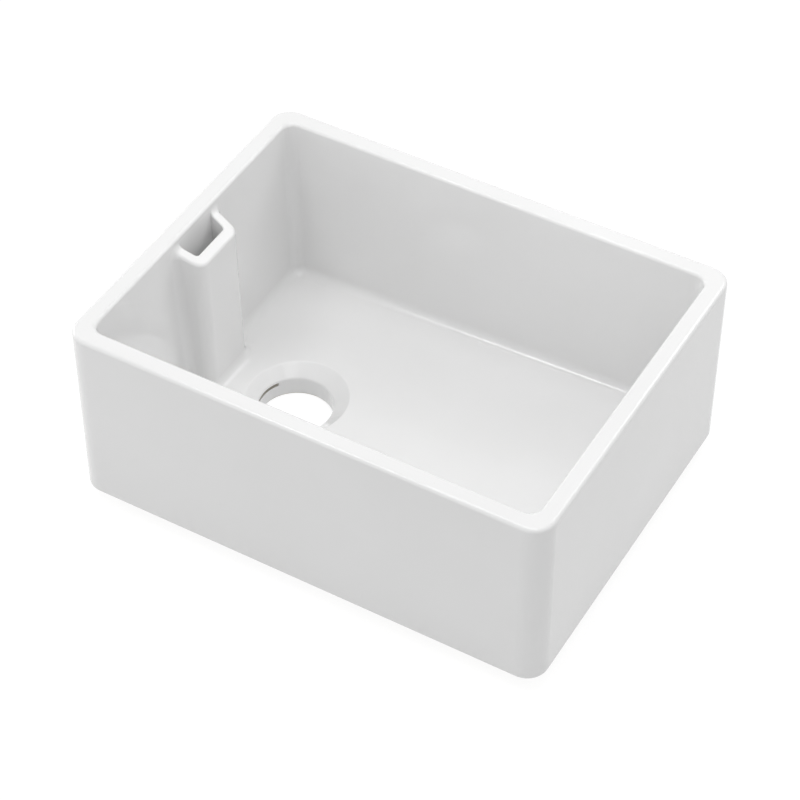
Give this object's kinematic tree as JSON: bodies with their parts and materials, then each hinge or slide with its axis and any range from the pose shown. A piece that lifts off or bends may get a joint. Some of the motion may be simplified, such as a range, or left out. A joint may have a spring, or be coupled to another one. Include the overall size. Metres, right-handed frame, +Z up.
{
  "type": "belfast sink",
  "caption": "Deep rectangular white glazed fireclay kitchen sink with a plain apron, a weir overflow pillar at one end and a dished waste hole.",
  "frame": {"origin": "middle of the base, on the surface the sink stands on", "axes": "+X along the length, away from the weir and the waste; +Y to the back; +Z up"},
  "size_m": [0.595, 0.455, 0.26],
  "materials": {
    "fireclay": "matt",
    "white_glaze": "gloss"
  },
  "bodies": {
    "root": {"bowl_casting": "fireclay", "weir_casting": "fireclay", "waterway_tile": "fireclay", "glaze_coat": "white_glaze"}
  },
  "joints": []
}
